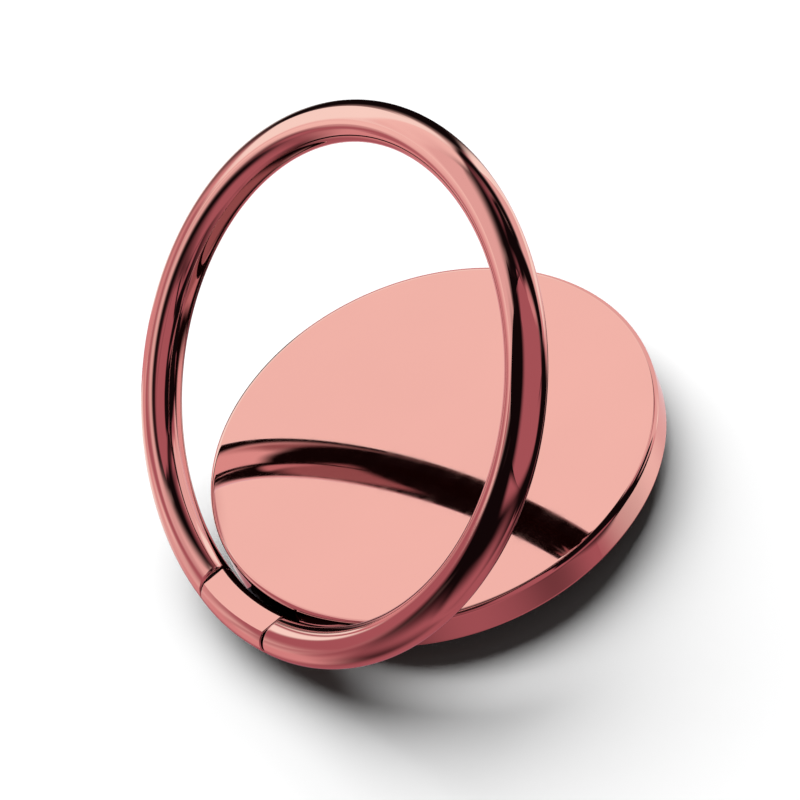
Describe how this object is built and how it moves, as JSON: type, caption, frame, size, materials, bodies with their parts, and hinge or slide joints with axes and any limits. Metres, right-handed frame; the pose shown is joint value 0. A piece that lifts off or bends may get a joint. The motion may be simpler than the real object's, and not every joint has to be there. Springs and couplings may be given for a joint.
{
  "type": "phone ring holder",
  "caption": "Round mirror-faced disc that sticks to a phone, with a swivelling hinge block outside its wall and a round finger ring that folds down around the disc.",
  "frame": {"origin": "centre of the adhesive pad's underside, on the disc's axis and in the plane of the phone's back", "axes": "+Z out of the phone through the mirror face, hinge block towards -Y, hinge axis along X, ring raised 42.8 degrees over the disc"},
  "size_m": [0.0428, 0.0394, 0.0311],
  "materials": {
    "rose_gold_plate": "mirror-bright rose gold plating on die-cast zinc alloy",
    "turned_steel": "turned, fine concentric marks",
    "spring_steel": "blanked sheet, satin",
    "zinc_plated_steel": "bright zinc plating",
    "brass": "turned",
    "acetal": "natural, stamped from film",
    "black_nylon": "moulded, matte",
    "foam_adhesive": "closed-cell acrylic foam, tacky face"
  },
  "bodies": {
    "base": {"adhesive_pad": "foam_adhesive", "base_plate": "turned_steel", "base_screw_1": "zinc_plated_steel", "base_screw_2": "zinc_plated_steel", "base_screw_3": "zinc_plated_steel", "lower_glide_washer": "acetal", "upper_glide_washer": "acetal", "pressure_ring": "zinc_plated_steel", "wave_spring": "spring_steel", "mirror_cover": "rose_gold_plate"},
    "carrier": {"carrier_plate": "spring_steel", "carrier_rivet_left": "zinc_plated_steel", "carrier_rivet_right": "zinc_plated_steel", "hinge_block": "rose_gold_plate", "hinge_bush_left": "brass", "hinge_bush_right": "brass", "seam_washer_left": "black_nylon", "seam_washer_right": "black_nylon"},
    "ring": {"finger_ring": "rose_gold_plate", "hinge_pin_left": "turned_steel", "hinge_pin_right": "turned_steel"}
  },
  "joints": [
    {"name": "swivel", "type": "hinge", "parent": "base", "child": "carrier", "pos_m": [0, 0, 0.00125], "axis": [0, 0, 1], "continuous": true},
    {"name": "ring_flip", "type": "hinge", "parent": "carrier", "child": "ring", "pos_m": [0, -0.01944, 0.00284], "axis": [1, 0, 0], "range_deg": [-42.8, 137.2]}
  ]
}
